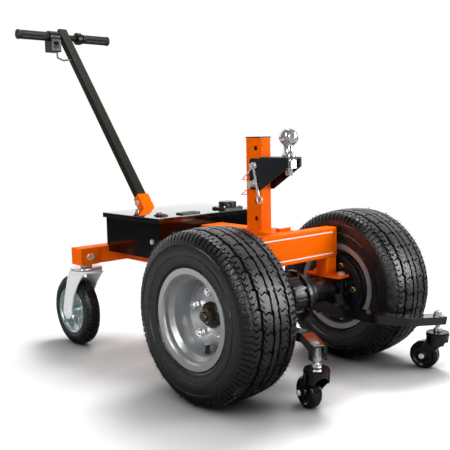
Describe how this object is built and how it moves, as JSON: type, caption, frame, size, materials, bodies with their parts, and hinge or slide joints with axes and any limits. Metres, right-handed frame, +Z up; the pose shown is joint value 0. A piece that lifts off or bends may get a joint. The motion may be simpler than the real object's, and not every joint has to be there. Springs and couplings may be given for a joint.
{
  "type": "electric trailer dolly",
  "caption": "Electric trailer dolly with driven wheels, a coupling ball on a pin-adjusted tower, swivel casters on stabiliser arms, a battery box and a fold-down tiller with twist throttle.",
  "frame": {"origin": "centre of the bounding box at ground level, where every wheel stands", "axes": "+Z up; -Y towards the coupling ball and the stabiliser arms, +Y towards the tiller; +X across, the side called right and the side of the twist throttle"},
  "size_m": [0.6898, 1.4108, 1.0233],
  "materials": {
    "orange_paint": "satin",
    "black_paint": "gloss",
    "fork_paint": "satin",
    "wheel_silver": "satin",
    "zinc": "brushed",
    "chrome": "polished",
    "bolt_steel": "satin",
    "casting_black": "satin",
    "tyre_rubber": "matte",
    "grip_rubber": "matte",
    "lid_black": "gloss",
    "black_plastic": "matte",
    "caster_tread": "satin",
    "rocker_red": "gloss",
    "battery_case": "matte",
    "controller_alloy": "satin",
    "strap_steel": "satin"
  },
  "bodies": {
    "chassis": {"axle_legs": "orange_paint", "axle_tubes": "casting_black", "ball_mount": "black_paint", "batteries": "battery_case", "battery_box": "lid_black", "battery_gauge": "black_plastic", "box_lid": "lid_black", "caster_stems": "zinc", "drive_motor": "casting_black", "foot_strip": "zinc", "frame_bolts": "bolt_steel", "front_beam": "orange_paint", "gearcase": "casting_black", "hitch_ball": "chrome", "isolator_base": "black_plastic", "left_arm": "black_paint", "lower_frame": "orange_paint", "motor_controller": "controller_alloy", "pole_bracket": "orange_paint", "rear_beam": "orange_paint", "right_arm": "black_paint", "spine_rail": "orange_paint", "switch_bezel": "black_plastic", "tower": "orange_paint", "tower_cap": "black_plastic"},
    "left_wheel": {"left_tyre": "tyre_rubber", "left_rim": "wheel_silver", "left_hub": "casting_black", "left_lug_nuts": "chrome", "left_axle_shaft": "bolt_steel"},
    "right_wheel": {"right_tyre": "tyre_rubber", "right_rim": "wheel_silver", "right_hub": "casting_black", "right_lug_nuts": "chrome", "right_axle_shaft": "bolt_steel"},
    "left_rear_swivel": {"left_rear_fork": "zinc"},
    "right_rear_swivel": {"right_rear_fork": "zinc"},
    "left_rear_roller": {"left_rear_tyre": "tyre_rubber", "left_rear_rim": "zinc"},
    "right_rear_roller": {"right_rear_tyre": "tyre_rubber", "right_rear_rim": "zinc"},
    "left_front_swivel": {"left_front_fork": "fork_paint"},
    "right_front_swivel": {"right_front_fork": "fork_paint"},
    "left_front_roller": {"left_front_wheel": "caster_tread"},
    "right_front_roller": {"right_front_wheel": "caster_tread"},
    "tiller": {"pole": "black_paint", "handlebar": "black_paint", "left_grip": "grip_rubber", "throttle_housing": "black_plastic", "switch_housing": "black_plastic", "handle_cable": "black_plastic"},
    "throttle": {"throttle_grip": "grip_rubber"},
    "direction_toggle": {"direction_switch": "black_plastic"},
    "power_button": {"power_rocker": "rocker_red"},
    "isolator": {"isolator_knob": "black_plastic"},
    "upper_hitch_pin": {"upper_pin": "bolt_steel"},
    "lower_hitch_pin": {"lower_pin": "bolt_steel"},
    "upper_pin_bail": {"upper_bail": "bolt_steel"},
    "lower_pin_bail": {"lower_bail": "bolt_steel"},
    "pin_strap": {"link_strap": "strap_steel"}
  },
  "joints": [
    {"name": "left_wheel_spin", "type": "hinge", "parent": "chassis", "child": "left_wheel", "pos_m": [-0.2624, -0.42441, 0.2095], "axis": [1, 0, 0], "continuous": true},
    {"name": "right_wheel_spin", "type": "hinge", "parent": "chassis", "child": "right_wheel", "pos_m": [0.2624, -0.42441, 0.2095], "axis": [1, 0, 0], "continuous": true},
    {"name": "left_rear_swivel_turn", "type": "hinge", "parent": "chassis", "child": "left_rear_swivel", "pos_m": [-0.247, 0.17559, 0.24], "axis": [0, 0, 1], "continuous": true},
    {"name": "left_rear_roller_spin", "type": "hinge", "parent": "left_rear_swivel", "child": "left_rear_roller", "pos_m": [-0.247, 0.23759, 0.108], "axis": [1, 0, 0], "continuous": true},
    {"name": "right_rear_swivel_turn", "type": "hinge", "parent": "chassis", "child": "right_rear_swivel", "pos_m": [0.247, 0.17559, 0.24], "axis": [0, 0, 1], "continuous": true},
    {"name": "right_rear_roller_spin", "type": "hinge", "parent": "right_rear_swivel", "child": "right_rear_roller", "pos_m": [0.247, 0.23759, 0.108], "axis": [1, 0, 0], "continuous": true},
    {"name": "left_front_swivel_turn", "type": "hinge", "parent": "chassis", "child": "left_front_swivel", "pos_m": [-0.15, -0.64641, 0.098], "axis": [0, 0, 1], "continuous": true},
    {"name": "left_front_roller_spin", "type": "hinge", "parent": "left_front_swivel", "child": "left_front_roller", "pos_m": [-0.13961, -0.61404, 0.0375], "axis": [0.9521, -0.3057, 0], "continuous": true},
    {"name": "right_front_swivel_turn", "type": "hinge", "parent": "chassis", "child": "right_front_swivel", "pos_m": [0.305, -0.67441, 0.098], "axis": [0, 0, 1], "continuous": true},
    {"name": "right_front_roller_spin", "type": "hinge", "parent": "right_front_swivel", "child": "right_front_roller", "pos_m": [0.29631, -0.64154, 0.0375], "axis": [0.9668, 0.2554, 0], "continuous": true},
    {"name": "tiller_fold", "type": "hinge", "parent": "chassis", "child": "tiller", "pos_m": [0, 0.21859, 0.42], "axis": [-1, 0, 0], "range_deg": [0, 50]},
    {"name": "throttle_twist", "type": "hinge", "parent": "tiller", "child": "throttle", "pos_m": [0.127, 0.67627, 0.99128], "axis": [1, 0, 0], "range_deg": [0, 60], "stiffness_Nm_per_rad": 0.4, "springref_deg": -17.19},
    {"name": "direction_rock", "type": "hinge", "parent": "tiller", "child": "direction_toggle", "pos_m": [-0.047, 0.65177, 0.96128], "axis": [1, 0, 0], "range_deg": [-18, 0]},
    {"name": "power_rock", "type": "hinge", "parent": "chassis", "child": "power_button", "pos_m": [-0.14, -0.06241, 0.411], "axis": [1, 0, 0], "range_deg": [-14, 0]},
    {"name": "isolator_turn", "type": "hinge", "parent": "chassis", "child": "isolator", "pos_m": [0.118, -0.05641, 0.414], "axis": [0, 0, 1], "range_deg": [0, 90]},
    {"name": "upper_pin_slide", "type": "slide", "parent": "chassis", "child": "upper_hitch_pin", "axis": [-1, 0, 0], "range_m": [0, 0.07]},
    {"name": "lower_pin_slide", "type": "slide", "parent": "chassis", "child": "lower_hitch_pin", "axis": [-1, 0, 0], "range_m": [0, 0.07]},
    {"name": "upper_bail_swing", "type": "hinge", "parent": "chassis", "child": "upper_pin_bail", "pos_m": [0, -0.32441, 0.5494], "axis": [1, 0, 0], "range_deg": [-3, 75]},
    {"name": "lower_bail_swing", "type": "hinge", "parent": "chassis", "child": "lower_pin_bail", "pos_m": [0, -0.32441, 0.5028], "axis": [1, 0, 0], "range_deg": [-12, 35]},
    {"name": "pin_strap_swing", "type": "hinge", "parent": "chassis", "child": "pin_strap", "pos_m": [-0.0303, -0.32441, 0.5494], "axis": [-1, 0, 0], "range_deg": [0, 60]}
  ]
}
